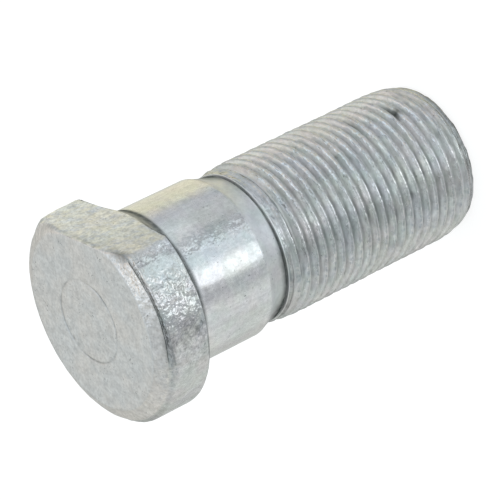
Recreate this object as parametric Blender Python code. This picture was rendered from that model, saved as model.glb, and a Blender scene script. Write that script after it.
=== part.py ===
"""Wheel stud: a clipped round head, a plain press-fit shank and a fine right-hand thread.

One forged and rolled piece of plated steel. It stands on its thread end with the head up:
Z runs along the axis from the thread end to the head, X points out of the flat on the head,
and the origin is the centre of the thread end. All lengths are in metres.
"""

import math

import bmesh
import bpy
from mathutils import Matrix, Vector

# Driving dimensions: the thread
THREAD_DIAMETER = 0.0220
THREAD_PITCH = 0.0015
THREAD_LENGTH = 0.0329
THREAD_ROOT_HEIGHT = 0.00093
NOSE_LENGTH = 0.0050
NOSE_DROP = 0.00125
LEAD_IN_LENGTH = 0.0045
LEAD_IN_DROP = 0.00055
RUN_OUT_LENGTH = 0.0030

# Driving dimensions: the groove and the taper between thread and shank
GROOVE_WALL = 0.00015
GROOVE_FLOOR = 0.00040
GROOVE_SLOPE = 0.00055
GROOVE_RELIEF = 0.00013
TAPER_LENGTH = 0.0026
TAPER_FOOT_STEP = 0.00003

# Driving dimensions: the shank
SHANK_LENGTH = 0.0133
SHANK_ALLOWANCE = 0.00035
NECK_FILLET = 0.0026

# Driving dimensions: the head
HEAD_THICKNESS = 0.0073
HEAD_OVERHANG = 0.00386
BEARING_CHAMFER = 0.0003
SHOULDER_WIDTH = 0.00060
SHOULDER_HEIGHT = 0.00055
SEAM_WIDTH = 0.00035
SEAM_DEPTH = 0.00015
BEVEL_WIDTH = 0.0019
BEVEL_HEIGHT = 0.00105
FLAT_STAND_OFF = 0.00043
FLAT_DRAFT = math.radians(2.5)

# The standard 60 degree thread form, as shares of the pitch
THREAD_DEPTH_RATIO = 0.6134
THREAD_CREST_RATIO = 0.125
FLANK_ANGLE = math.radians(30)

# How finely the round surfaces are divided
COLUMNS = 40
FILLET_STEPS = 5
TAPER_STEPS = 4
ROWS_PER_TURN = 4
END_MARGIN = 0.00012
CUTTER_MARGIN = 0.002
SMOOTH_ANGLE = math.radians(28)

# Derived sizes
THREAD_RADIUS = THREAD_DIAMETER / 2
THREAD_DEPTH = THREAD_DEPTH_RATIO * THREAD_PITCH
ROOT_RADIUS = THREAD_RADIUS - THREAD_DEPTH
RIM_RADIUS = THREAD_RADIUS - LEAD_IN_DROP
GROOVE_RADIUS = min(ROOT_RADIUS, RIM_RADIUS) - GROOVE_RELIEF
TAPER_FOOT_RADIUS = RIM_RADIUS - TAPER_FOOT_STEP
SHANK_RADIUS = (THREAD_DIAMETER + SHANK_ALLOWANCE) / 2
HEAD_RADIUS = SHANK_RADIUS + HEAD_OVERHANG
TAPER_FOOT_HEIGHT = THREAD_LENGTH + GROOVE_WALL + GROOVE_FLOOR + GROOVE_SLOPE
SHANK_FOOT_HEIGHT = TAPER_FOOT_HEIGHT + TAPER_LENGTH
BEARING_HEIGHT = SHANK_FOOT_HEIGHT + SHANK_LENGTH
FACE_HEIGHT = BEARING_HEIGHT + HEAD_THICKNESS


def clear_scene():
    """Remove every object of the open file."""
    for old_object in list(bpy.data.objects):
        bpy.data.objects.remove(old_object, do_unlink=True)


def crest_radius(height):
    """Radius of the rolled blank: an elliptic nose at the end and an easier lead-in at the groove."""
    nose = min(height / NOSE_LENGTH, 1.0)
    lead_in = min((THREAD_LENGTH - height) / LEAD_IN_LENGTH, 1.0)
    nose_drop = NOSE_DROP * (1 - math.sqrt(max(1 - (1 - nose) ** 2, 0.0)))
    lead_in_drop = LEAD_IN_DROP * (1 - math.sqrt(max(1 - (1 - lead_in) ** 2, 0.0)))
    return THREAD_RADIUS - nose_drop - lead_in_drop


def root_radius(height):
    """Radius at the thread root, which rises to the blank's surface where the thread runs out."""
    crest = crest_radius(height)
    run_out = max(1 - (THREAD_LENGTH - height) / RUN_OUT_LENGTH, 0.0)
    return min(ROOT_RADIUS + (crest - ROOT_RADIUS) * run_out ** 2, crest)


def thread_rows():
    """Offsets of one turn's four helical rows from the root's centre, each with its radius rule."""
    half_crest = THREAD_CREST_RATIO * THREAD_PITCH / 2
    flank = THREAD_DEPTH * math.tan(FLANK_ANGLE)
    middle = THREAD_PITCH / 2
    half_root = middle - half_crest - flank
    return [
        (half_root, root_radius),
        (middle - half_crest, crest_radius),
        (middle + half_crest, crest_radius),
        (THREAD_PITCH - half_root, root_radius),
    ]


def thread_column(bm, column):
    """One lengthwise column of thread vertices, keyed by the number of their helical row."""
    angle = math.tau * column / COLUMNS
    rise = THREAD_ROOT_HEIGHT + THREAD_PITCH * column / COLUMNS
    first_turn = -math.ceil(rise / THREAD_PITCH)
    last_turn = math.ceil(THREAD_LENGTH / THREAD_PITCH)
    vertices = {}
    for turn in range(first_turn, last_turn + 1):
        for row, (offset, radius_at) in enumerate(thread_rows()):
            height = rise + turn * THREAD_PITCH + offset
            if END_MARGIN < height < THREAD_LENGTH - END_MARGIN:
                place = Vector((math.cos(angle), math.sin(angle), 0)) * radius_at(height)
                place.z = height
                vertices[turn * ROWS_PER_TURN + row] = bm.verts.new(place)
    return vertices


def ring(bm, radius, height):
    """One circle of vertices round the axis."""
    circle = []
    for column in range(COLUMNS):
        angle = math.tau * column / COLUMNS
        circle.append(bm.verts.new((radius * math.cos(angle), radius * math.sin(angle), height)))
    return circle


def join_rings(bm, lower, upper):
    """A band of faces between two circles, facing out."""
    for column in range(COLUMNS):
        after = (column + 1) % COLUMNS
        bm.faces.new((lower[column], lower[after], upper[after], upper[column]))


def join_columns(bm, left, right, foot, head):
    """Faces between two neighbouring thread columns and the circles below and above them."""
    low = max(min(left), min(right))
    high = min(max(left), max(right))
    right_foot = [right[row] for row in sorted(right) if row <= low]
    left_foot = [left[row] for row in sorted(left, reverse=True) if row <= low]
    bm.faces.new([foot[0], foot[1]] + right_foot + left_foot)
    for row in range(low, high):
        bm.faces.new((left[row], right[row], right[row + 1], left[row + 1]))
    right_head = [right[row] for row in sorted(right) if row >= high]
    left_head = [left[row] for row in sorted(left, reverse=True) if row >= high]
    bm.faces.new(right_head + [head[1], head[0]] + left_head)


def add_thread(bm, end_ring, rim_ring):
    """The helical thread between the circle of the end face and the circle at the groove."""
    columns = [thread_column(bm, column) for column in range(COLUMNS)]
    for column in range(COLUMNS):
        after = (column + 1) % COLUMNS
        right = columns[after]
        if after == 0:
            right = {row - ROWS_PER_TURN: vertex for row, vertex in right.items()}
        foot = (end_ring[column], end_ring[after])
        head = (rim_ring[column], rim_ring[after])
        join_columns(bm, columns[column], right, foot, head)


def groove_profile():
    """Relief groove: a steep wall under the thread and an easy slope to the taper."""
    wall_top = THREAD_LENGTH + GROOVE_WALL
    return [
        (GROOVE_RADIUS, wall_top),
        (GROOVE_RADIUS, wall_top + GROOVE_FLOOR),
    ]


def taper_profile():
    """Hollow taper that leads the shank into its bore."""
    points = []
    drop = SHANK_RADIUS - TAPER_FOOT_RADIUS
    for step in range(TAPER_STEPS + 1):
        share = step / TAPER_STEPS
        points.append((TAPER_FOOT_RADIUS + drop * share ** 2, TAPER_FOOT_HEIGHT + TAPER_LENGTH * share))
    return points


def neck_profile():
    """Fillet from the shank into the head's bearing face."""
    points = []
    centre_radius = SHANK_RADIUS + NECK_FILLET
    centre_height = BEARING_HEIGHT - NECK_FILLET
    for step in range(FILLET_STEPS + 1):
        angle = math.pi / 2 * step / FILLET_STEPS
        points.append((
            centre_radius - NECK_FILLET * math.cos(angle),
            centre_height + NECK_FILLET * math.sin(angle),
        ))
    return points


def head_profile():
    """Round head from its bearing face over the shoulder and the forging seam to the face's bevel."""
    seam_radius = HEAD_RADIUS - SHOULDER_WIDTH
    bevel_foot = FACE_HEIGHT - BEVEL_HEIGHT
    seam_foot = bevel_foot - SEAM_WIDTH
    return [
        (HEAD_RADIUS - BEARING_CHAMFER, BEARING_HEIGHT),
        (HEAD_RADIUS, BEARING_HEIGHT + BEARING_CHAMFER),
        (HEAD_RADIUS, seam_foot - SHOULDER_HEIGHT),
        (HEAD_RADIUS - SHOULDER_WIDTH / 3, seam_foot - SHOULDER_HEIGHT / 3),
        (seam_radius, seam_foot),
        (seam_radius - SEAM_DEPTH, seam_foot + SEAM_WIDTH / 2),
        (seam_radius, bevel_foot),
        (seam_radius - BEVEL_WIDTH, FACE_HEIGHT),
    ]


def build_blank():
    """The whole stud with its head still round, as one closed mesh."""
    bm = bmesh.new()
    end_ring = ring(bm, crest_radius(0.0), 0.0)
    rim_ring = ring(bm, RIM_RADIUS, THREAD_LENGTH)
    bm.faces.new(list(reversed(end_ring)))
    add_thread(bm, end_ring, rim_ring)
    lower = rim_ring
    for radius, height in groove_profile() + taper_profile() + neck_profile() + head_profile():
        upper = ring(bm, radius, height)
        join_rings(bm, lower, upper)
        lower = upper
    bm.faces.new(lower)
    mesh = bpy.data.meshes.new("wheel_stud")
    bm.to_mesh(mesh)
    bm.free()
    return mesh


def add_flat_cutter():
    """Block that clips the head: its near side is the flat, leaning in towards the face."""
    width = 2 * (HEAD_RADIUS + CUTTER_MARGIN)
    depth = HEAD_OVERHANG + 2 * CUTTER_MARGIN
    height = HEAD_THICKNESS + 2 * (NECK_FILLET + CUTTER_MARGIN)
    flat_distance = SHANK_RADIUS + FLAT_STAND_OFF
    middle = BEARING_HEIGHT + HEAD_THICKNESS / 2
    mesh = bpy.data.meshes.new("flat_cutter")
    bm = bmesh.new()
    size = Matrix.Diagonal((depth, width, height, 1))
    shift = Matrix.Translation((depth / 2, 0, 0))
    bmesh.ops.create_cube(bm, size=1.0, matrix=shift @ size)
    bm.to_mesh(mesh)
    bm.free()
    cutter = bpy.data.objects.new("flat_cutter", mesh)
    cutter.location = (flat_distance, 0, middle)
    cutter.rotation_euler = (0, -FLAT_DRAFT, 0)
    cutter.display_type = "WIRE"
    cutter.hide_render = True
    bpy.context.scene.collection.objects.link(cutter)
    return cutter


def plated_steel():
    """Bright zinc plating over steel."""
    material = bpy.data.materials.new("zinc_plated_steel")
    material.use_nodes = True
    shader = material.node_tree.nodes["Principled BSDF"]
    shader.inputs["Base Color"].default_value = (0.62, 0.64, 0.64, 1.0)
    shader.inputs["Metallic"].default_value = 1.0
    shader.inputs["Roughness"].default_value = 0.38
    return material


def build_stud():
    """The finished stud: the blank with its head clipped by the flat."""
    mesh = build_blank()
    mesh.materials.append(plated_steel())
    mesh.shade_smooth()
    mesh.set_sharp_from_angle(angle=SMOOTH_ANGLE)
    stud = bpy.data.objects.new("wheel_stud", mesh)
    bpy.context.scene.collection.objects.link(stud)
    clip = stud.modifiers.new("flat", "BOOLEAN")
    clip.operation = "DIFFERENCE"
    clip.solver = "EXACT"
    clip.object = add_flat_cutter()


clear_scene()
build_stud()
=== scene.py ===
import math

import bpy
import numpy as np
from mathutils import Matrix, Vector


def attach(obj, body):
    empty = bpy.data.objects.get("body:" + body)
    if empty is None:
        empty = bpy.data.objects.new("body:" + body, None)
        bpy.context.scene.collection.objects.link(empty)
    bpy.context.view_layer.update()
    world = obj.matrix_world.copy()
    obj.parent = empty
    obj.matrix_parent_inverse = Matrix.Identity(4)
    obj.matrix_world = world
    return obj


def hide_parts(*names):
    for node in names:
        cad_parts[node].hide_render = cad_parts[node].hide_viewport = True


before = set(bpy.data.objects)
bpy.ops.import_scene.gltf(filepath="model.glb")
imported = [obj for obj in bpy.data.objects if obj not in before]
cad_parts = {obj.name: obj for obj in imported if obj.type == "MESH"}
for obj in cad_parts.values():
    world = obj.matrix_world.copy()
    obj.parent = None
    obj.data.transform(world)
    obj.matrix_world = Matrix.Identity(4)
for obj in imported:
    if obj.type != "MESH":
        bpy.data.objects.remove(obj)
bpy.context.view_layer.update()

# Lengths below are in millimetres, and the mesh is written in metres
MM = 0.001

# Thread
PITCH = 1.5
THREAD_LENGTH = 32.9
THREAD_RADIUS = 11.0
ROOT_RADIUS = 10.08
ROOT_HEIGHT = 1.01
NOSE_LENGTH, NOSE_DROP = 5.0, 1.25
LEAD_IN_LENGTH, LEAD_IN_DROP = 4.5, 0.55
RUN_OUT_LENGTH = 3.0
# On the nose the roots grow shallower between two heights, down to a share of the thread's depth
NOSE_ROOTS_TOP, NOSE_ROOTS_FOOT, NOSE_ROOTS_SHARE = 2.8, 0.2, 0.5
THREAD_COLUMNS = 148
# A vertex this near to an end of the thread is on that end's circle
WELD_REACH = 1e-6
# Share of the pitch from a root's centre, and share of the thread's depth there. The rolled crest
# is rounder on the side that faces the head.
THREAD_FORM = (
    (0.0, 1.0), (0.07, 0.95), (0.24, 0.50), (0.365, 0.13), (0.40, 0.025), (0.42, 0.0),
    (0.485, 0.0), (0.545, 0.004), (0.575, 0.035), (0.615, 0.11), (0.665, 0.25), (0.725, 0.43),
    (0.79, 0.62), (0.86, 0.81), (0.93, 0.95),
)

# Groove, taper, shank and neck. A form lists the radius and height of each row.
GROOVE_FORM = (
    (10.45, 32.95), (10.44, 33.01), (10.38, 33.045), (10.18, 33.05), (10.10, 33.07), (10.07, 33.12),
    (10.08, 33.19), (10.13, 33.26), (10.22, 33.36), (10.32, 33.49), (10.37, 33.65), (10.40, 33.84),
)
TAPER_FOOT, TAPER_TOP = 34.0, 36.6
TAPER_GAP = 0.05
TAPER_FOOT_RADIUS = 10.42
TAPER_CURVE = 1.45
TAPER_ROWS = 10
SHANK_RADIUS = 11.175
FILLET = 2.6
FILLET_ROWS = 14
BEARING = 49.9
NECK_START = BEARING - FILLET

# Head
HEAD_RADIUS = 15.02
RIM_ROUNDING = 0.36
RIM_ROWS = 4
SHOULDER = 55.25
BEVEL_FOOT = 56.3
FACE = 57.19
FACE_RADIUS = 12.5
FACE_EDGE_WIDTH, FACE_EDGE_DROP = 0.12, 0.05
FLAT_DISTANCE = 11.6
FLAT_HEIGHT = 53.55
FLAT_DRAFT = math.tan(math.radians(2.5))
FLAT_EDGE_ROUNDING = 0.45
# Radius and height of each row of the shoulder: rounded, and then with the forging seam
SHOULDER_FORM = (
    ((15.02, 55.25), (15.02, 55.35)), ((14.98, 55.40), (15.01, 55.62)),
    ((14.89, 55.54), (14.99, 55.82)), ((14.76, 55.68), (14.92, 55.93)),
    ((14.64, 55.79), (14.66, 55.965)), ((14.54, 55.88), (14.34, 55.98)),
    ((14.46, 55.98), (14.28, 56.05)), ((14.40, 56.08), (14.34, 56.14)),
    ((14.34, 56.17), (14.43, 56.21)), ((14.25, 56.27), (14.31, 56.31)),
)
SEAM_FLOOR = 56.03
SEAM_RISE = 0.20
COLUMNS = 2 * THREAD_COLUMNS
ROW_STEP = 0.27

# Large numbers that scatter a cell's place, the noise's seed and the sum of both
SCATTER_X, SCATTER_Y, SCATTER_Z = 374761393, 668265263, 1442695041
SCATTER_SEED, SCATTER_SUM = 97531, 1274126177
SEED_SHIFT = 17.31


def smooth_step(low, high, value):
    """0 at low, 1 at high, with an easy slope between them."""
    share = np.clip((value - low) / (high - low), 0.0, 1.0)
    return share * share * (3.0 - 2.0 * share)


def noise(points, size, seed):
    """Smooth random numbers from -1 to 1 in space, the same for the same seed.

    size is a bump's width in millimetres, or its widths along x, y and z.
    """
    scaled = points / np.asarray(size, float) + seed * SEED_SHIFT
    cell = np.floor(scaled).astype(np.int64)
    share = scaled - cell
    share = share * share * (3.0 - 2.0 * share)
    total = np.zeros(len(points))
    for corner in range(8):
        step = np.array([corner & 1, corner >> 1 & 1, corner >> 2 & 1])
        at = cell + step
        key = at[:, 0] * SCATTER_X + at[:, 1] * SCATTER_Y + at[:, 2] * SCATTER_Z
        key = key + seed * SCATTER_SEED
        key = (key ^ (key >> 13)) * SCATTER_SUM & 0xFFFFFFFF
        key = (key ^ (key >> 16)) & 0xFFFF
        weight = np.prod(np.where(step == 1, share, 1.0 - share), axis=1)
        total += weight * (key / (0xFFFF / 2) - 1.0)
    return total


def bell(value, middle, width):
    """1 at the middle, falling off on both sides."""
    return np.exp(-((value - middle) / width) ** 2)


def blank_radius(height):
    """Radius of the thread's crests: rounded off at the free end and eased in at the groove."""
    nose = np.clip(height / NOSE_LENGTH, 0.0, 1.0)
    lead_in = np.clip((THREAD_LENGTH - height) / LEAD_IN_LENGTH, 0.0, 1.0)
    drop = NOSE_DROP * (1.0 - np.sqrt(1.0 - (1.0 - nose) ** 2))
    return THREAD_RADIUS - drop - LEAD_IN_DROP * (1.0 - np.sqrt(1.0 - (1.0 - lead_in) ** 2))


def thread_grid():
    """Helical rows of the thread, a column per angle. Rows past an end lie on its circle."""
    columns = np.arange(THREAD_COLUMNS + 1)
    angle = math.tau * columns / THREAD_COLUMNS
    rise = ROOT_HEIGHT + PITCH * columns / THREAD_COLUMNS
    rows = []
    for turn in range(-2, int(THREAD_LENGTH / PITCH) + 1):
        for share, depth in THREAD_FORM:
            height = np.clip(rise + (turn + share) * PITCH, 0.0, THREAD_LENGTH)
            crest = blank_radius(height)
            run_out = np.clip(1.0 - (THREAD_LENGTH - height) / RUN_OUT_LENGTH, 0.0, 1.0)
            on_nose = smooth_step(NOSE_ROOTS_TOP, NOSE_ROOTS_FOOT, height)
            shallow = np.maximum(run_out ** 2, NOSE_ROOTS_SHARE * on_nose)
            root = np.minimum(ROOT_RADIUS + (crest - ROOT_RADIUS) * shallow, crest)
            radius = crest - (crest - root) * depth
            rows.append(np.stack([radius * np.cos(angle), radius * np.sin(angle), height], axis=1))
    return np.array(rows)


def spread(start, end, step=ROW_STEP):
    """Points between two profile points, the first left out."""
    count = max(1, round(math.dist(start, end) / step))
    return [tuple(np.array(start) + (np.array(end) - np.array(start)) * i / count)
            for i in range(1, count + 1)]


def arc(centre, radius, start, end, count):
    """Points on an arc between two angles in degrees, the first left out."""
    turns = [math.radians(start + (end - start) * i / count) for i in range(1, count + 1)]
    return [(centre[0] + radius * math.cos(t), centre[1] + radius * math.sin(t)) for t in turns]


def upper_profile(shoulder):
    """Radius and height of each row from the groove to the edge of the head's face."""
    points = list(GROOVE_FORM)
    for i in range(TAPER_ROWS + 1):
        share = i / TAPER_ROWS
        radius = TAPER_FOOT_RADIUS + (SHANK_RADIUS - TAPER_FOOT_RADIUS) * share ** TAPER_CURVE
        height = TAPER_FOOT + TAPER_GAP + (TAPER_TOP - TAPER_FOOT - TAPER_GAP) * share
        points.append((radius, height))
    points += spread(points[-1], (SHANK_RADIUS, NECK_START))
    points += arc((SHANK_RADIUS + FILLET, NECK_START), FILLET, 180, 90, FILLET_ROWS)
    rim = HEAD_RADIUS - RIM_ROUNDING
    points += spread(points[-1], (rim, BEARING))
    points += arc((rim, BEARING + RIM_ROUNDING), RIM_ROUNDING, -90, 0, RIM_ROWS)
    points += spread(points[-1], (HEAD_RADIUS, SHOULDER))[:-1]
    points += shoulder
    bevel_top = (FACE_RADIUS + FACE_EDGE_WIDTH, FACE - FACE_EDGE_DROP)
    steps = round(math.dist(SHOULDER_FORM[-1][0], bevel_top) / ROW_STEP)
    points += spread(shoulder[-1], bevel_top, math.dist(shoulder[-1], bevel_top) / steps)
    points += [(FACE_RADIUS, FACE)]
    return np.array(points)


def soft_min(first, second, rounding):
    """The smaller of two numbers, rounded off where they cross."""
    overlap = np.clip(rounding - np.abs(first - second), 0.0, None)
    return np.minimum(first, second) - overlap ** 2 / (4.0 * rounding)


def seam_share(degrees):
    """How much of the forging seam there is: it starts by the flat's corner and dies out."""
    return smooth_step(-37.0, -45.0, degrees) * smooth_step(-106.0, -90.0, degrees)


def seam_rise(degrees):
    """The seam climbs towards the face where it nears the flat."""
    return SEAM_RISE * smooth_step(-84.0, -50.0, degrees) * smooth_step(0.0, -30.0, degrees)


def upper_grid():
    """Rows of the groove, taper, shank, neck and head, with the head clipped by its flat."""
    angle = math.tau * np.arange(COLUMNS) / COLUMNS
    degrees = (np.degrees(angle) + 180.0) % 360.0 - 180.0
    seam, rise = seam_share(degrees), seam_rise(degrees)
    far_corner = smooth_step(10.0, 25.0, degrees)
    facing = np.cos(angle)
    # Only directions that face the flat more than this are clipped by it
    no_limit, least_facing = 99.0, 0.3
    plain = upper_profile([row[0] for row in SHOULDER_FORM])
    seamed = upper_profile([row[1] for row in SHOULDER_FORM])
    on_flat = plain[:, 1].copy()
    # The rows of the bearing face would all meet the flat at one height, so they spread over it
    bearing = (plain[:, 0] > SHANK_RADIUS + 1.6) & (plain[:, 1] < BEARING + 0.45)
    on_flat[bearing] = np.linspace(on_flat[bearing][0], on_flat[bearing][-1], bearing.sum())
    rows = []
    for (radius, height), (seam_radius, seam_height), flat_height in zip(plain, seamed, on_flat):
        radii = radius + (seam_radius - radius) * seam
        heights = height + (seam_height - height) * seam
        lifted = smooth_step(SHOULDER - 1.05, SHOULDER + 0.05, height)
        lifted *= smooth_step(FACE - 0.1, BEVEL_FOOT, height)
        heights = heights + rise * lifted
        limit = np.full(COLUMNS, no_limit)
        if height > NECK_START:
            distance = FLAT_DISTANCE - FLAT_DRAFT * (flat_height - FLAT_HEIGHT)
            on_side = distance / np.maximum(facing, least_facing)
            limit = np.where(facing > least_facing, on_side, limit)
        high = smooth_step(SHOULDER - 2.25, SHOULDER + 0.75, height)
        rounding = FLAT_EDGE_ROUNDING + far_corner * high
        clipped = soft_min(radii, limit, rounding)
        cut = smooth_step(0.0, 0.5, radii - limit)
        rows.append(np.stack([clipped * facing, clipped * np.sin(angle),
                              heights + (flat_height - height) * cut], axis=1))
    return np.array(rows)


class Builder:
    """Collects vertices and faces, and leaves out faces that have no area."""

    def __init__(self):
        self.points, self.faces, self.count = [], [], 0

    def add(self, points):
        """Adds vertices and returns their numbers."""
        self.points.append(np.asarray(points, float).reshape(-1, 3))
        start = self.count
        self.count += len(self.points[-1])
        return np.arange(start, self.count)

    def face(self, *corners):
        """Adds one face, with corners that repeat taken as one."""
        kept = [c for i, c in enumerate(corners) if c != corners[i - 1]]
        if len(kept) > 2:
            self.faces.append(kept)

    def band(self, lower, upper):
        """Faces between two rings of the same number of columns, facing out."""
        for i in range(len(lower)):
            j = (i + 1) % len(lower)
            self.face(lower[i], lower[j], upper[j], upper[i])

    def halving(self, fine, coarse):
        """Faces from a ring to one with half its columns."""
        for i in range(len(coarse)):
            j = (i + 1) % len(coarse)
            middle = fine[2 * i + 1]
            self.face(fine[2 * i], middle, coarse[i])
            self.face(middle, fine[(2 * i + 2) % len(fine)], coarse[j])
            self.face(middle, coarse[j], coarse[i])

    def doubling(self, coarse, fine):
        """Faces from a ring to one with twice its columns."""
        for i in range(len(coarse)):
            j = (i + 1) % len(coarse)
            middle = fine[2 * i + 1]
            self.face(coarse[i], coarse[j], middle)
            self.face(coarse[i], middle, fine[2 * i])
            self.face(coarse[j], fine[(2 * i + 2) % len(fine)], middle)

    def disc(self, edge, radii, halve_at, height, centre=(0.0, 0.0)):
        """Fills a ring with smaller rings round centre, which halve their columns at each radius
        in halve_at."""
        angle = math.tau * np.arange(len(edge)) / len(edge)
        points = np.concatenate(self.points)[edge]
        reach = np.hypot(points[:, 0], points[:, 1])
        outer = reach.max()
        ring = edge
        for radius in radii:
            halve = bool(halve_at) and radius < halve_at[0]
            if halve:
                halve_at = halve_at[1:]
                angle, reach = angle[::2], reach[::2]
            bent = radius * (1.0 + (reach / outer - 1.0) * smooth_step(0.35, 1.0, radius / outer))
            shift = smooth_step(1.0, 0.55, radius / outer)
            new = self.add(np.stack([bent * np.cos(angle) + shift * centre[0],
                                     bent * np.sin(angle) + shift * centre[1],
                                     np.full(len(angle), height)], axis=1))
            (self.halving if halve else self.band)(ring, new)
            ring = new
        middle = self.add([(*centre, height)])[0]
        for i in range(len(ring)):
            self.face(ring[i], ring[(i + 1) % len(ring)], middle)


def welded_thread(builder, grid):
    """Adds the helical rows. In each column the vertices on an end's circle are one vertex."""
    rows, columns = grid.shape[0], THREAD_COLUMNS
    per_turn = len(THREAD_FORM)
    foot = builder.add(grid[0, :columns] * [1, 1, 0])
    top = builder.add(grid[-1, :columns])
    index = np.zeros((rows, columns), int)
    height = grid[:, :columns, 2]
    inside = (height > WELD_REACH) & (height < THREAD_LENGTH - WELD_REACH)
    for row in range(rows):
        index[row] = np.where(height[row] <= WELD_REACH, foot, top)
        kept = np.nonzero(inside[row])[0]
        index[row, kept] = builder.add(grid[row, kept])
    last = columns - 1
    for row in range(rows - 1):
        for column in range(last):
            builder.face(index[row, column], index[row, column + 1],
                         index[row + 1, column + 1], index[row + 1, column])
        if row + per_turn < rows - 1:
            builder.face(index[row, last], index[row + per_turn, 0],
                         index[row + per_turn + 1, 0], index[row + 1, last])
    return foot, top


# The ring mark on the face is a little off the axis. The two end faces are filled with rings of
# these radii, closer at the mark, and lose half their columns past the radii for halving.
RING_MARK = 5.79
RING_CENTRE = (-0.4, 0.65)
FACE_RINGS = (
    *np.arange(12.2, 6.4, -0.3), 6.25, 6.05, 5.93, 5.84, 5.76, 5.67, 5.55, 5.35,
    *np.arange(5.1, 0.2, -0.3),
)
FACE_HALVING = (9.0, 4.6, 2.2)
END_RINGS = (9.6, 9.3, 8.9, 8.4, *np.arange(7.8, 0.5, -0.6))
END_HALVING = (5.0, 2.0)


def build_mesh():
    """The stud as one closed mesh, before its surface is worn."""
    builder = Builder()
    foot, top = welded_thread(builder, thread_grid())
    grid = upper_grid()
    upper = builder.add(grid).reshape(grid.shape[:2])
    builder.doubling(top, upper[0])
    for lower, higher in zip(upper[:-1], upper[1:]):
        builder.band(lower, higher)
    builder.disc(upper[-1], FACE_RINGS, FACE_HALVING, FACE, RING_CENTRE)
    builder.disc(foot[::-1], END_RINGS, END_HALVING, 0.0)
    return np.concatenate(builder.points), builder.faces


# Marks on the surface. From here on, angles are in degrees round the axis, 0 at the flat and less
# than 0 on the side that the photo shows, and a pair in a bell is its middle and its half width.
# Dark marks: angle, height, half widths round the axis and along it, and strength
STAINS = (
    # The dark spot near the thread's end, and what trails from it
    (-9.0, 3.4, 2.2, 0.45, 0.22), (-22.0, 3.3, 1.2, 0.3, 0.2), (-19.0, 6.75, 0.7, 0.75, 1.0),
    (-14.0, 6.93, 1.0, 0.42, 0.9), (-9.5, 7.0, 1.3, 0.3, 0.75), (-4.0, 7.15, 0.9, 0.25, 0.5),
    # Specks and nicks on the rest of the thread
    (-10.0, 12.9, 1.5, 0.5, 0.45), (-29.0, 19.1, 0.22, 0.2, 0.9), (-37.5, 17.1, 0.2, 0.2, 0.6),
    (-59.1, 13.1, 0.25, 0.2, 0.6), (-79.5, 7.0, 0.25, 0.2, 0.9), (-121.7, 6.9, 0.3, 0.2, 0.7),
    (-80.8, 11.0, 0.3, 0.3, 0.5), (60.0, 24.0, 1.2, 0.3, 0.7), (140.0, 9.0, 1.0, 0.3, 0.6),
    (-36.5, 32.0, 0.5, 0.16, 0.35), (-49.0, 31.7, 0.6, 0.25, 0.28), (-61.0, 31.0, 0.6, 0.3, 0.2),
    # Faint marks on the shank
    (-2.4, 44.7, 0.5, 0.25, 0.14), (-6.9, 44.4, 0.5, 0.3, 0.16), (-4.7, 42.9, 0.3, 0.2, 0.14),
    (-12.0, 42.8, 0.6, 0.25, 0.12), (-11.2, 41.6, 0.4, 0.25, 0.14), (-8.3, 40.2, 0.5, 0.25, 0.14),
    (-99.0, 38.6, 0.35, 0.2, 0.18), (-102.0, 39.3, 0.3, 0.2, 0.18),
    (-107.6, 38.2, 0.3, 0.2, 0.15), (170.0, 41.0, 0.8, 0.4, 0.3),
    # Spots on the head's side
    (-86.4, 51.5, 0.5, 0.28, 0.9), (100.0, 52.5, 0.7, 0.5, 0.4),
)
# The darker patches at the corners where the flat meets the bevel: middle, half widths and strength
DARK_CORNERS = (
    ((11.2, -8.2, 56.45), (1.0, 1.9, 0.65), 0.58),
    ((11.5, 6.6, 56.6), (1.1, 2.4, 0.5), 0.26),
)
# Small pits in the head's face: place across the axis, half width and depth
FACE_PITS = (
    (-4.1, 4.9, 0.32, 0.08), (-4.7, 3.9, 0.28, 0.07), (-4.2, -0.5, 0.28, 0.06),
    (-4.05, -1.5, 0.28, 0.06), (6.8, -2.4, 0.25, 0.07), (-2.9, 5.1, 0.22, 0.05),
    (-8.2, 2.0, 0.3, 0.04), (3.0, -8.4, 0.3, 0.04),
)
# How dark the painted shade in a pit gets for each millimetre of its depth
PIT_SHADE = 9.0
# The most hammered part of the head's side, its chipped line, and the beaten part of the bevel,
# which also gets painted light and more of the painted warm reflection
HAMMERED = (-66.5, 10.5)
CHIPPED = -41.8
BEATEN_AND_LIT = (-50.0, 14.0)
# What each zone adds to the roughness, to the strength of the bumps and to the mottling
PLAIN_ROUGHNESS, PLAIN_RELIEF = 0.34, 0.05
ROUGHNESS = {
    "taper": 0.10, "shank": -0.13, "face": 0.14, "flat": 0.08, "groove": 0.12, "crest": -0.24,
    "end": 0.10, "side": -0.14, "bevel": 0.02, "nose": 0.06,
}
RELIEF = {"flat": 0.55, "face": 0.06, "thread": 0.20, "crest": 0.32, "side": 0.30, "bevel": 0.30}
MOTTLE = {
    "flat": 1.05, "side": 0.80, "face": 0.65, "bevel": 0.80, "thread": 0.40, "shank": 0.50,
    "taper": 0.35, "nose": -0.30,
}


def vertex_data(mesh):
    """Places in millimetres and normals of the vertices."""
    count = len(mesh.vertices)
    points, normals = np.zeros(count * 3), np.zeros(count * 3)
    mesh.vertices.foreach_get("co", points)
    mesh.vertex_normals.foreach_get("vector", normals)
    return points.reshape(-1, 3) / MM, normals.reshape(-1, 3)


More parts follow.
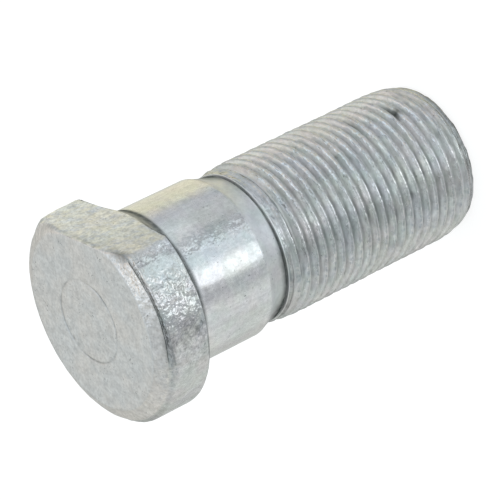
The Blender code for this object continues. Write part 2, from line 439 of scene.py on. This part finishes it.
def zones(points, normals):
    """Where each vertex lies, and its share in each zone of the stud's surface."""
    radius = np.hypot(points[:, 0], points[:, 1])
    height = points[:, 2]
    flat = (height > BEARING - 0.9) * smooth_step(0.80, 0.97, normals[:, 0])
    flat *= smooth_step(FLAT_DISTANCE - 0.7, FLAT_DISTANCE - 0.3, points[:, 0])
    face = smooth_step(0.93, 0.99, normals[:, 2]) * (height > FACE - 0.3)
    bevel = smooth_step(0.35, 0.65, normals[:, 2])
    bevel *= smooth_step(BEVEL_FOOT - 0.4, BEVEL_FOOT, height) * (1 - face) * (1 - flat)
    thread = (height < THREAD_LENGTH + 0.01).astype(float)
    below_crest = blank_radius(np.minimum(height, THREAD_LENGTH)) - radius
    taper = smooth_step(TAPER_FOOT - 0.3, TAPER_FOOT, height)
    groove = smooth_step(0.0, 0.12, height - THREAD_LENGTH)
    shank = smooth_step(TAPER_TOP - 0.1, TAPER_TOP + 0.05, height) * (radius < SHANK_RADIUS + 0.3)
    neck = smooth_step(NECK_START - 0.25, NECK_START + 0.2, height) * (height < BEARING + 0.02)
    neck *= radius < HEAD_RADIUS - 0.25
    outer = smooth_step(BEARING - 0.02, BEARING + 0.3, height) * (radius > 12.0)
    from_centre = np.hypot(points[:, 0] - RING_CENTRE[0], points[:, 1] - RING_CENTRE[1])
    return {
        "radius": radius,
        "height": height,
        "angle": np.degrees(np.arctan2(points[:, 1], points[:, 0])),
        "below_crest": below_crest,
        "from_ring": from_centre - RING_MARK,
        "end": (height < 0.05).astype(float),
        "nose": thread * smooth_step(NOSE_LENGTH - 0.5, 1.0, height),
        "thread": thread,
        "crest": thread * smooth_step(0.35, 0.08, below_crest),
        "groove": groove * smooth_step(TAPER_FOOT, TAPER_FOOT - 0.4, height),
        "taper": taper * smooth_step(TAPER_TOP + 0.05, TAPER_TOP - 0.1, height),
        "shank": shank * smooth_step(NECK_START + 0.3, NECK_START - 0.3, height),
        "neck": neck * (1 - flat),
        "side": outer * (1 - flat) * (1 - face) * (1 - bevel),
        "bevel": bevel,
        "flat": flat,
        "face": face,
    }


def weighted(zone, weights):
    """Sum of the zones named in weights, each times its weight."""
    return sum(weight * zone[name] for name, weight in weights.items())


def calm_side(angle):
    """1 on the part of the head's side that is less hammered, which lies towards the flat."""
    return smooth_step(-58.0, -50.0, angle)


def pit_depth(points, widening):
    """Depth of the face's pits at each vertex, with their half widths scaled by widening."""
    total = np.zeros(len(points))
    for x, y, half_width, depth in FACE_PITS:
        away = np.hypot(points[:, 0] - x, points[:, 1] - y)
        total += depth * bell(away, 0.0, widening * half_width)
    return total


def dents(points, zone):
    """How far each vertex moves along its normal, in millimetres."""
    angle, height = zone["angle"], zone["height"]
    broad, middle = noise(points, 5.0, 1), noise(points, 1.6, 2)
    small, tiny = noise(points, 0.85, 3), noise(points, 0.55, 4)

    # Head
    patchy = 0.3 - 0.15 * calm_side(angle) + 0.8 * bell(angle, *HAMMERED)
    patchy += 0.3 * noise(points, 3.2, 6)
    hammered = 0.07 * middle + 0.12 * noise(points, 1.05, 17) + 0.04 * tiny
    move = zone["side"] * np.minimum(0.02 * broad + patchy * hammered - 0.10, 0.01)
    chipped = zone["side"] * bell(angle, CHIPPED, 2.4)
    chipped *= smooth_step(BEARING + 1.1, BEARING + 2.6, height)
    move -= chipped * 0.09 * np.clip(noise(points, 0.7, 18) + 0.3, 0.0, 1.0)
    uneven = 0.02 * broad + 0.06 * middle + 0.07 * small + 0.02 * tiny
    move += zone["flat"] * np.minimum(uneven - 0.05, 0.03)
    battered = 0.45 + 0.8 * bell(angle, -55.0, 16.0)
    move += zone["bevel"] * (battered * (0.04 * middle + 0.05 * small + 0.03 * tiny) - 0.05)
    move += zone["face"] * (0.016 * broad + 0.014 * middle + 0.006 * small - 0.02)
    move -= zone["face"] * pit_depth(points, 1.0)
    ring = bell(zone["from_ring"], -0.07 * middle, 0.14) * zone["face"]
    move -= ring * 0.10 * np.clip(0.7 + 0.9 * noise(points, 3.5, 9) + 0.4 * small, 0.3, 1.3)

    # Shank and taper
    move += zone["shank"] * (0.012 * noise(points, (1.3, 1.3, 6.0), 7) + 0.005 * middle - 0.012)
    move += zone["taper"] * (0.004 * middle - 0.004)

    # Thread
    nicks = np.clip(noise(points, (1.3, 1.3, 0.45), 5) - 0.05, 0.0, 1.0)
    chips = np.clip(noise(points, (0.8, 0.8, 0.4), 15) - 0.15, 0.0, 1.0)
    move += zone["crest"] * (-0.10 * nicks - 0.06 * chips + 0.012 * middle - 0.010)
    move += zone["thread"] * (0.020 * middle + 0.014 * small + 0.008 * tiny - 0.01)
    move += zone["nose"] * (0.03 * noise(points, (2.2, 2.2, 0.3), 8) - 0.02)
    last_ridges = zone["thread"] * smooth_step(THREAD_LENGTH - 3.4, THREAD_LENGTH - 1.4, height)
    move += last_ridges * (0.03 * small + 0.02 * middle - 0.04)
    return move


def stain_share(zone):
    """Share of each vertex in the dark marks."""
    total = np.zeros(len(zone["angle"]))
    for angle, height, around, along, strength in STAINS:
        turn = (zone["angle"] - angle + 180.0) % 360.0 - 180.0
        across = np.radians(turn) * zone["radius"] / around
        up = (zone["height"] - height) / along
        total = np.maximum(total, strength * np.exp(-(across ** 2 + up ** 2)))
    return total


def thread_shade_and_wear(points, zone):
    """Painted shade in the roots and round the nose, and painted shade with wear where the thread
    runs out into the groove.
    """
    height, angle = zone["height"], zone["angle"]
    root = smooth_step(0.68, 0.88, zone["below_crest"])
    root *= 0.39 + 0.12 * bell(angle, -72.0, 18.0)
    root *= 0.4 + 0.6 * smooth_step(4.0, 6.5, height)
    root *= 0.8 + 0.5 * noise(points, 2.0, 10)
    lit = smooth_step(-78.0, -98.0, angle)
    nose = 0.06 * smooth_step(NOSE_LENGTH - 0.5, NOSE_LENGTH - 2.5, height)
    nose += smooth_step(1.9, 0.9, height) * (0.09 + 0.18 * bell(angle, -57.0, 13.0) - 0.10 * lit)
    edge = 0.6 * (1 - 0.55 * smooth_step(-48.0, -36.0, angle))
    edge *= 1 - 0.85 * bell(angle, -100.0, 25.0)
    nose += edge * smooth_step(1.15, 0.5, height)
    nose *= 0.8 + 0.5 * noise(points, (2.5, 2.5, 0.5), 11)
    mouth = smooth_step(THREAD_LENGTH - 1.5, THREAD_LENGTH - 0.5, height)
    mouth *= smooth_step(-46.0, -58.0, angle)
    mouth += 0.35 * bell(height, THREAD_LENGTH - 1.7, 1.1) * smooth_step(-40.0, -28.0, angle)
    mouth *= 0.8 + 0.8 * noise(points, 1.5, 13)
    return zone["thread"] * (root + nose + 0.34 * mouth)


def groove_painted_shade(points, zone):
    """Painted shade in the groove's slot, up its wall and taper, and along the taper's upper edge.
    """
    height, radius, angle = zone["height"], zone["radius"], zone["angle"]
    past_thread = height - THREAD_LENGTH
    shaded = 1 - bell(angle, -42.0, 26.0)
    slot = smooth_step(10.26, 10.14, radius) * smooth_step(0.13, 0.18, past_thread)
    slot *= smooth_step(0.34 + 0.32 * shaded, 0.18 + 0.26 * shaded, past_thread)
    wall = smooth_step(0.3, 0.5, past_thread) * shaded
    wall *= smooth_step(TAPER_FOOT + 0.5, TAPER_FOOT - 0.5, height)
    wall *= 1.0 + 0.45 * smooth_step(-68.0, -80.0, angle)
    ends = bell(angle, -128.0, 15.0) + 0.85 * bell(angle, 15.0, 11.0)
    ends += 0.12 * bell(angle, -86.0, 16.0)
    ends *= smooth_step(TAPER_TOP + 0.6, TAPER_FOOT - 0.2, height) * (past_thread > 0.5)
    wall += 1.9 * ends
    edging = bell(height, TAPER_TOP - 0.1, 0.22) * smooth_step(-48.0, -34.0, angle)
    edging *= 0.8 + 0.6 * noise(points, 2.0, 16)
    return 0.78 * slot + 0.42 * wall + 0.28 * edging


def side_painted_shade(points, zone):
    """Painted shade under the head, on its rear rim, in the forging seam and round the head's
    outline, and a darker band along the flat's front edge.
    """
    height, radius, angle = zone["height"], zone["radius"], zone["angle"]
    start = 0.30 * bell(angle, -33.0, 12.0) - 0.10 * bell(angle, -66.0, 11.0)
    into_neck = height - NECK_START
    neck = zone["neck"] * smooth_step(start - 0.25, start + 0.2, into_neck)
    neck *= 1 - 0.42 * smooth_step(0.4, 1.3, into_neck) * smooth_step(-40.0, -33.0, angle)
    top = BEARING + 0.30 - 0.15 * smooth_step(-62.0, -69.0, angle)
    top += 0.25 * bell(angle, -98.0, 12.0)
    rim = smooth_step(top, top - 0.19, height) * smooth_step(BEARING - 0.05, BEARING, height)
    rim *= (radius > 12.5) * (1 - zone["flat"]) * (0.45 + 0.55 * smooth_step(-92.0, -76.0, angle))
    smear = smooth_step(-74.0, -86.0, angle)
    seam = bell(height, SEAM_FLOOR + seam_rise(angle) + 0.22 * smear, 0.06 + 0.18 * smear)
    seam *= (radius > 13.2) * (radius < 14.85) * seam_share(angle)
    seam *= 0.36 + 0.42 * bell(angle, -71.0, 7.5) + 0.30 * smooth_step(-57.0, -49.0, angle)
    edge = zone["flat"] * bell(height, BEVEL_FOOT + 0.45, 0.22)
    edge *= 0.7 + 0.6 * noise(points, 1.2, 14)
    outline = smooth_step(HEAD_RADIUS - 0.82, HEAD_RADIUS - 0.32, radius)
    outline *= smooth_step(SHOULDER - 0.05, SHOULDER + 0.45, height)
    outline *= 1 - bell(angle, -55.0, 45.0)
    return 0.85 * neck + rim + seam + 0.25 * edge + 0.15 * outline


def face_painted_shade_and_corners(points, zone):
    """Painted shade in the face's ring mark and pits, and darker patches on the corners beside the
    flat.
    """
    ring = bell(zone["from_ring"], 0.0, 0.13)
    ring *= np.clip(0.55 + 0.9 * noise(points, 3.5, 9) + 0.5 * noise(points, 0.8, 12), 0.15, 1.3)
    ring += PIT_SHADE * pit_depth(points, 0.8)
    corners = sum(strength * np.exp(-(((points - middle) / half_widths) ** 2).sum(axis=1))
                  for middle, half_widths, strength in DARK_CORNERS)
    return 0.45 * zone["face"] * ring + corners


def painted_shade_and_stain_share(points, zone):
    """How dark each place is with painted shade, stains and the darker patches at the flat's
    corners.
    """
    painted_shade_and_stains = thread_shade_and_wear(points, zone) + groove_painted_shade(points, zone) + side_painted_shade(points, zone)
    return np.clip(painted_shade_and_stains + face_painted_shade_and_corners(points, zone) + stain_share(zone), 0.0, 1.0)


def painted_light_and_shade(points, zone):
    """Painted light and shade on the plating at each place, where 1 is its plain level."""
    height, angle, below = zone["height"], zone["angle"], zone["below_crest"]

    # Painted light on the thread's slopes, a painted highlight along one line of its crests with
    # painted shade on them elsewhere, and painted shade round the thread beyond about -110 degrees
    painted_flank_light = zone["thread"] * smooth_step(0.08, 0.28, below) * smooth_step(0.80, 0.50, below)
    painted_flank_light *= smooth_step(NOSE_LENGTH - 2.5, NOSE_LENGTH - 0.5, height)
    painted_flank_light *= smooth_step(THREAD_LENGTH - 1.4, THREAD_LENGTH - 3.4, height)
    painted_flank_light *= 0.18 - 0.09 * bell(angle, -82.0, 9.0) + 0.08 * bell(angle, -100.0, 9.0)
    painted_crest_shade = 1 - bell(angle, -64.0, 11.0)
    painted_crest_shade *= 0.12 + 0.08 * smooth_step(-28.0, -12.0, angle)
    # low marks where the thread gets painted shade
    low = smooth_step(-102.0, -120.0, angle) * smooth_step(3.0, 6.0, height)
    painted_light_tone = 1.0 + painted_flank_light - 0.09 * low * zone["thread"]
    painted_light_tone += (0.17 * bell(angle, -66.0, 8.0) - painted_crest_shade) * zone["crest"]

    # Painted highlight on the groove's lip and painted light on a stretch past it, painted shade on
    # part of the taper, and on the shank painted light by the head and painted shade along one line
    painted_lip_highlight = bell(height, THREAD_LENGTH, 0.16) * (zone["radius"] > 10.2)
    painted_lip_highlight *= bell(angle, -52.0, 26.0) + bell(angle, -71.0, 7.0)
    past_thread = height - THREAD_LENGTH
    painted_groove_light = bell(past_thread, 0.55, 0.16) * (past_thread > 0.3) * bell(angle, -35.0, 14.0)
    painted_shank_light = smooth_step(NECK_START - 6.3, NECK_START - 1.8, height) * bell(angle, -33.0, 11.0)
    painted_light_tone += 0.30 * painted_lip_highlight + 0.35 * painted_groove_light
    painted_light_tone -= 0.09 * zone["taper"] * smooth_step(-34.0, -14.0, angle)
    painted_light_tone += zone["shank"] * (0.30 * painted_shank_light - 0.08 * bell(angle, -58.5, 6.0))

    # Head: painted shade and light across its side, a slightly brighter face, painted light on the
    # bevel, most where it is beaten, and painted light on the flat that fades towards its -y side
    painted_side_light_and_shade = smooth_step(-72.0, -78.0, angle) * (0.08 + 0.17 * bell(angle, -86.0, 16.0))
    painted_side_light_and_shade += 0.09 * bell(angle, -57.0, 7.0) - 0.10 * bell(angle, -40.5, 3.0)
    painted_light_tone += 0.035 * zone["face"] - painted_side_light_and_shade * zone["side"]
    painted_light_tone += zone["bevel"] * (0.04 + 0.26 * bell(angle, *BEATEN_AND_LIT))
    return painted_light_tone + zone["flat"] * (0.16 - 0.17 * smooth_step(7.0, -9.0, points[:, 1]))


def store(mesh, name, values):
    """Keeps a number for each vertex under a name that the material reads."""
    attribute = mesh.attributes.new(name, "FLOAT", "POINT")
    attribute.data.foreach_set("value", np.asarray(values, np.float32))


def paint(mesh, points, zone):
    """Stores how rough, bumpy, mottled and tinted each place is, its stains, painted light and
    shade and painted warm reflection, and how far the shank's drawn lines and the thread's turned
    lines show there."""
    angle = zone["angle"]
    beaten_and_lit = bell(angle, *BEATEN_AND_LIT)
    relief = PLAIN_RELIEF + weighted(zone, RELIEF) + 0.8 * beaten_and_lit * zone["bevel"]
    relief += zone["side"] * (0.70 * bell(angle, *HAMMERED) - 0.12 * calm_side(angle))
    relief += 0.8 * zone["side"] * bell(angle, CHIPPED, 2.6)
    relief += 0.45 * zone["shank"] * bell(angle, -46.0, 7.0)
    mottle = weighted(zone, MOTTLE) + 0.6 * beaten_and_lit * zone["bevel"]
    mottle += 0.9 * zone["side"] * bell(angle, -90.0, 13.0)
    turned = 0.7 * zone["thread"] + zone["nose"] * (0.2 + bell(angle, -60.0, 24.0))
    film = 1.0 - zone["face"] - 0.8 * zone["flat"] - 0.7 * zone["bevel"]
    store(mesh, "rough", PLAIN_ROUGHNESS + weighted(zone, ROUGHNESS))
    # Painted shade in hollows, creases and along edges, with stains and dark corner patches
    store(mesh, "painted_shade_and_stains", painted_shade_and_stain_share(points, zone))
    store(mesh, "relief", relief)
    store(mesh, "drawn", zone["shank"])
    store(mesh, "turned", turned)
    # Painted light and shade
    store(mesh, "painted_light_tone", painted_light_and_shade(points, zone))
    store(mesh, "mottle", mottle)
    store(mesh, "film", np.clip(film, 0.0, 1.0))
    # Painted warm reflection on the bevel, most where it is beaten, and a little on the face
    store(mesh, "painted_warm_reflection", zone["bevel"] * (0.32 + 0.15 * beaten_and_lit) + 0.12 * zone["face"])


def make_stud():
    """The stud's mesh, with its forged, rolled and worn surface."""
    points, faces = build_mesh()
    mesh = bpy.data.meshes.new("stud")
    mesh.from_pydata((points * MM).tolist(), [], [[int(i) for i in f] for f in faces])
    mesh.shade_smooth()
    places, normals = vertex_data(mesh)
    zone = zones(places, normals)
    moved = places + normals * dents(places, zone)[:, None]
    moved[:, 2] = np.clip(moved[:, 2], 0.0, FACE)
    moved[zone["end"] > 0, 2] = 0.0
    mesh.vertices.foreach_set("co", (moved * MM).ravel())
    mesh.update()
    paint(mesh, places, zone)
    stud = bpy.data.objects.new("stud", mesh)
    bpy.context.scene.collection.objects.link(stud)
    return stud


class Tree:
    """Short ways to add nodes to a material's or the world's tree."""

    def __init__(self, tree):
        self.tree = tree

    def feed(self, socket, value):
        """Links a socket to another node's socket, or gives it a number or a colour."""
        if isinstance(value, bpy.types.NodeSocket):
            self.tree.links.new(value, socket)
        else:
            socket.default_value = value

    def node(self, kind, inputs=(), **settings):
        """A new node, with its settings made and its inputs fed."""
        made = self.tree.nodes.new("ShaderNode" + kind)
        for name, value in settings.items():
            setattr(made, name, value)
        for name, value in dict(inputs).items():
            self.feed(made.inputs[name], value)
        return made

    def math(self, operation, first, second):
        return self.node("Math", {0: first, 1: second}, operation=operation).outputs[0]

    def vector(self, operation, first, second=(0.0, 0.0, 0.0)):
        made = self.node("VectorMath", {0: first, 1: second}, operation=operation)
        return made.outputs["Value" if operation == "DOT_PRODUCT" else "Vector"]

    def ease(self, value, low, high, bottom=0.0, top=1.0):
        """From bottom to top as value goes from low to high, with easy ends."""
        inputs = {"Value": value, "From Min": low, "From Max": high,
                  "To Min": bottom, "To Max": top}
        return self.node("MapRange", inputs, interpolation_type="SMOOTHSTEP").outputs[0]

    def mix(self, share, first, second):
        """The colour that is first at share 0 and second at share 1."""
        made = self.node("Mix", {0: share}, data_type="RGBA")
        for number, value in ((6, first), (7, second)):
            plain = not isinstance(value, bpy.types.NodeSocket)
            self.feed(made.inputs[number], (*value, 1.0) if plain else value)
        return made.outputs[2]

    def noise(self, place, width, detail=2.0, roughness=0.5):
        """Noise whose bumps are about width millimetres wide."""
        inputs = {"Vector": place, "Scale": 1.0 / width, "Detail": detail, "Roughness": roughness}
        return self.node("TexNoise", inputs).outputs[0]

    def attribute(self, name):
        return self.node("Attribute", attribute_name=name).outputs["Fac"]

    def vary(self, shade, amount, low, high, share=None):
        """Multiplies shade by low to high as amount varies, as far as share says."""
        swing = self.math("SUBTRACT", self.ease(amount, 0.3, 0.7, low, high), 1.0)
        if share is not None:
            swing = self.math("MULTIPLY", swing, share)
        return self.math("MULTIPLY", shade, self.math("ADD", swing, 1.0))


WHITE = (1.0, 1.0, 1.0)
# Plating: the colours of its patches, the tints of its film, the painted warm reflection on the
# bevel and face, most where beaten, and the colour and sheen of stains and painted shade
PATCHES = (0.637, 0.656, 0.652), (0.666, 0.663, 0.642)
FILMS = (0.986, 1.008, 0.992), (1.010, 0.992, 1.016)
PAINTED_WARM_REFLECTION = (0.745, 0.665, 0.60)
SHADE_AND_STAIN_COLOUR = (0.08, 0.09, 0.085)
SHADE_AND_STAIN_SHEEN = (0.1, 0.1, 0.1)
# Lines on the shank and the thread are this much finer across than along
STRETCH = 0.12
# Height of the bumps in metres, which relief scales
BUMP_DISTANCE = 0.00055


def zinc_plate():
    """Satin zinc plating with tint patches, mottling, streaks and specks, with painted light and
    shade, painted shade in its crevices, stains, and a painted warm reflection.
    """
    material = bpy.data.materials.new("zinc_plate")
    material.use_nodes = True
    shader = material.node_tree.nodes["Principled BSDF"]
    shader.inputs["Metallic"].default_value = 1.0
    tree = Tree(material.node_tree)
    metres = tree.node("TexCoord").outputs["Object"]
    place = tree.vector("MULTIPLY", metres, (1 / MM, 1 / MM, 1 / MM))
    lengthwise = tree.vector("MULTIPLY", place, (1.0, 1.0, STRETCH))
    around = tree.vector("MULTIPLY", place, (STRETCH, STRETCH, 1.0))
    elsewhere = tree.vector("ADD", place, (31.0, 17.0, 5.0))
    mottle, turned = tree.attribute("mottle"), tree.attribute("turned")

    colour = tree.mix(tree.ease(tree.noise(place, 4.5, 3.0), 0.35, 0.65), *PATCHES)
    film = tree.mix(tree.ease(tree.noise(elsewhere, 2.6, 2.0), 0.35, 0.65), *FILMS)
    colour = tree.vector("MULTIPLY", colour, tree.mix(tree.attribute("film"), WHITE, film))
    # Painted warm reflection on the bevel and the face
    colour = tree.mix(tree.attribute("painted_warm_reflection"), colour, PAINTED_WARM_REFLECTION)
    # The plating's painted light and shade, varied by random mottling below
    shade = tree.attribute("painted_light_tone")
    shade = tree.vary(shade, tree.noise(place, 2.2, 3.0, 0.6), 0.96, 1.03)
    shade = tree.vary(shade, tree.noise(place, 0.8, 2.0, 0.55), 0.88, 1.09, mottle)
    shade = tree.vary(shade, tree.noise(place, 0.35, 1.0), 0.88, 1.07, mottle)
    shade = tree.vary(shade, tree.noise(lengthwise, 0.5), 0.94, 1.04, tree.attribute("drawn"))
    lines = tree.noise(around, 0.22)
    shade = tree.vary(shade, lines, 0.84, 1.10, turned)
    shaded = tree.node("VectorMath", {0: colour, "Scale": shade}, operation="SCALE")

    patchy = tree.ease(tree.noise(place, 0.6, 3.0), 0.25, 0.6, 0.75, 1.0)
    # Painted shade and stains, broken up in patches
    shade_and_stain = tree.math("MULTIPLY", tree.attribute("painted_shade_and_stains"), patchy)
    specks = tree.ease(tree.noise(place, 0.3, 1.0), 0.67, 0.76, 0.0, 0.6)
    specks = tree.math("MULTIPLY", specks, tree.ease(tree.noise(place, 3.0), 0.42, 0.60))
    dark = tree.math("MAXIMUM", shade_and_stain, specks)
    colour = tree.mix(dark, shaded.outputs["Vector"], SHADE_AND_STAIN_COLOUR)
    tree.feed(shader.inputs["Base Color"], colour)
    # Reflections are tinted darker where there is painted shade or stain
    tree.feed(shader.inputs["Specular Tint"], tree.mix(shade_and_stain, WHITE, SHADE_AND_STAIN_SHEEN))

    gloss = tree.ease(tree.noise(place, 0.9, 4.0, 0.6), 0.3, 0.7, -0.08, 0.10)
    rough = tree.math("ADD", tree.attribute("rough"), gloss)
    rough = tree.math("ADD", rough, tree.math("MULTIPLY", shade_and_stain, 0.15))
    tree.feed(shader.inputs["Roughness"], rough)

    height = tree.noise(place, 1.2)
    height = tree.math("ADD", height, tree.math("MULTIPLY", tree.noise(place, 0.25, 1.0), 0.08))
    ridges = tree.math("MULTIPLY", lines, tree.math("MULTIPLY", turned, 0.5))
    height = tree.math("ADD", height, ridges)
    inputs = {"Height": height, "Strength": tree.attribute("relief"), "Distance": BUMP_DISTANCE}
    bump = tree.node("Bump", inputs)
    tree.feed(shader.inputs["Normal"], bump.outputs["Normal"])
    return material


stud = make_stud()
stud.data.materials.append(zinc_plate())
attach(stud, "root")
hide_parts("wheel_stud")

# Camera: lens and sensor width, its nearest and farthest reach in metres, its place in
# millimetres, and its three directions
LENS, SENSOR_WIDTH = 250.93, 36.0
NEAREST, FARTHEST = 0.01, 10.0
CAMERA_PLACE = Vector((198.249, -333.440, 270.658))
FORWARD = Vector((-0.43665639, 0.73050045, -0.52507171))
UP = Vector((0.88892139, 0.26056686, -0.37672758))
RIGHT = Vector((-0.13838338, -0.63124798, -0.76313566))

camera = bpy.data.objects.new("camera", bpy.data.cameras.new("camera"))
camera.data.lens, camera.data.sensor_width = LENS, SENSOR_WIDTH
camera.data.clip_start, camera.data.clip_end = NEAREST, FARTHEST
aim = Matrix((RIGHT, UP, -FORWARD)).transposed().to_4x4()
camera.matrix_world = Matrix.Translation(CAMERA_PLACE * MM) @ aim
bpy.context.scene.collection.objects.link(camera)
bpy.context.scene.camera = camera

# Floor: half its width and its height in metres, its colour under the light, and its own glow
FLOOR_HALF = 0.8
FLOOR_HEIGHT = -0.00002
FLOOR_GREY = (0.36, 0.36, 0.36)
FLOOR_GLOW = 0.80


def pale_floor():
    """White to the camera, with the object's soft shadow on it."""
    material = bpy.data.materials.new("pale_floor")
    material.use_nodes = True
    shader = material.node_tree.nodes["Principled BSDF"]
    shader.inputs["Base Color"].default_value = (*FLOOR_GREY, 1.0)
    shader.inputs["Roughness"].default_value = 1.0
    shader.inputs["Specular IOR Level"].default_value = 0.0
    shader.inputs["Emission Color"].default_value = (*WHITE, 1.0)
    shader.inputs["Emission Strength"].default_value = FLOOR_GLOW
    return material


def make_floor():
    """A wide plane. The metal reflects the studio below the horizon instead of it."""
    mesh = bpy.data.meshes.new("floor")
    corners = [(x * FLOOR_HALF, y * FLOOR_HALF, FLOOR_HEIGHT)
               for x, y in ((-1, -1), (1, -1), (1, 1), (-1, 1))]
    mesh.from_pydata(corners, [], [(0, 1, 2, 3)])
    mesh.materials.append(pale_floor())
    floor = bpy.data.objects.new("floor", mesh)
    bpy.context.scene.collection.objects.link(floor)
    floor.visible_glossy = False
    floor.visible_shadow = False


make_floor()

# Soft studio light: a plain level all round, with a few broad panels and dark gaps.
WALLS, CEILING, GROUND = (0.85, 0.87, 0.855), (0.65, 0.70, 0.73), (0.66, 0.68, 0.70)
CEILING_SLOPES, GROUND_SLOPES = (0.35, 0.9), (-0.62, -0.85)
# Each panel has its direction, the half widths in degrees to which it is full and at which it
# ends, the lowest and highest slope at which it is full, how softly it ends there, its colour
# and its strength.
PANELS = (
    (20.0, 15.0, 50.0, -0.62, 0.2, 0.2, (0.69, 0.725, 0.765), 1.0),
    (130.0, 18.0, 50.0, -1.1, 0.2, 0.25, (0.63, 0.645, 0.63), 1.0),
    (73.0, 13.0, 38.0, -1.1, -0.36, 0.3, (0.99, 0.955, 0.765), 1.0),
    (0.0, 42.0, 62.0, -0.20, 0.55, 0.15, (0.73, 0.78, 0.83), 1.0),
    (-66.0, 14.0, 32.0, 0.10, 0.62, 0.2, (0.84, 0.90, 0.935), 1.0),
    (45.0, 35.0, 90.0, 0.5, 0.78, 0.15, (0.90, 0.85, 0.80), 1.0),
    (50.0, 30.0, 108.0, 0.85, 1.1, 0.12, (1.03, 1.16, 1.29), 1.0),
    (0.0, 179.0, 180.0, 0.993, 1.1, 0.012, (0.94, 1.03, 1.14), 1.0),
    (-155.0, 8.0, 26.0, 0.75, 0.96, 0.035, (0.485, 0.52, 0.55), 1.0),
    (-104.0, 22.0, 48.0, -0.28, 0.75, 0.14, (0.555, 0.61, 0.625), 1.0),
    (-35.0, 45.0, 70.0, -1.1, -0.74, 0.12, (0.87, 0.93, 0.985), 1.0),
    (-126.0, 6.0, 22.0, -0.66, -0.44, 0.12, (0.94, 0.97, 0.98), 1.0),
    (-52.0, 10.0, 32.0, -0.66, -0.42, 0.14, (0.95, 1.07, 1.15), 1.0),
    (-72.6, 6.0, 17.0, -0.64, -0.34, 0.15, (1.64, 1.71, 1.79), 1.0),
    (-22.0, 1.0, 12.0, -0.80, 0.0, 0.2, (0.42, 0.47, 0.52), 0.8),
    (-101.0, 4.0, 15.0, -0.80, 0.0, 0.2, (0.56, 0.59, 0.64), 0.9),
)


def studio():
    """The world's light, white where the camera sees it."""
    world = bpy.data.worlds.new("studio")
    world.use_nodes = True
    tree = Tree(world.node_tree)
    direction = tree.node("TexCoord").outputs["Generated"]
    level = tree.vector("NORMALIZE", tree.vector("MULTIPLY", direction, (1.0, 1.0, 0.0)))
    rise = tree.node("SeparateXYZ", {0: direction}).outputs["Z"]
    colour = tree.mix(tree.ease(rise, *CEILING_SLOPES), WALLS, CEILING)
    colour = tree.mix(tree.ease(rise, *GROUND_SLOPES), colour, GROUND)
    for azimuth, inner, outer, low, high, soft, tint, strength in PANELS:
        toward = math.radians(azimuth)
        facing = tree.vector("DOT_PRODUCT", level, (math.cos(toward), math.sin(toward), 0.0))
        edge, full = math.cos(math.radians(outer)), math.cos(math.radians(inner))
        share = tree.ease(facing, edge, full, 0.0, strength)
        share = tree.math("MULTIPLY", share, tree.ease(rise, low - soft, low))
        share = tree.math("MULTIPLY", share, tree.ease(rise, high + soft, high))
        colour = tree.mix(share, colour, tint)
    seen = tree.node("LightPath").outputs["Is Camera Ray"]
    colour = tree.mix(seen, colour, WHITE)
    tree.feed(world.node_tree.nodes["Background"].inputs["Color"], colour)
    bpy.context.scene.world = world


studio()

bpy.context.scene.view_settings.view_transform = "Standard"
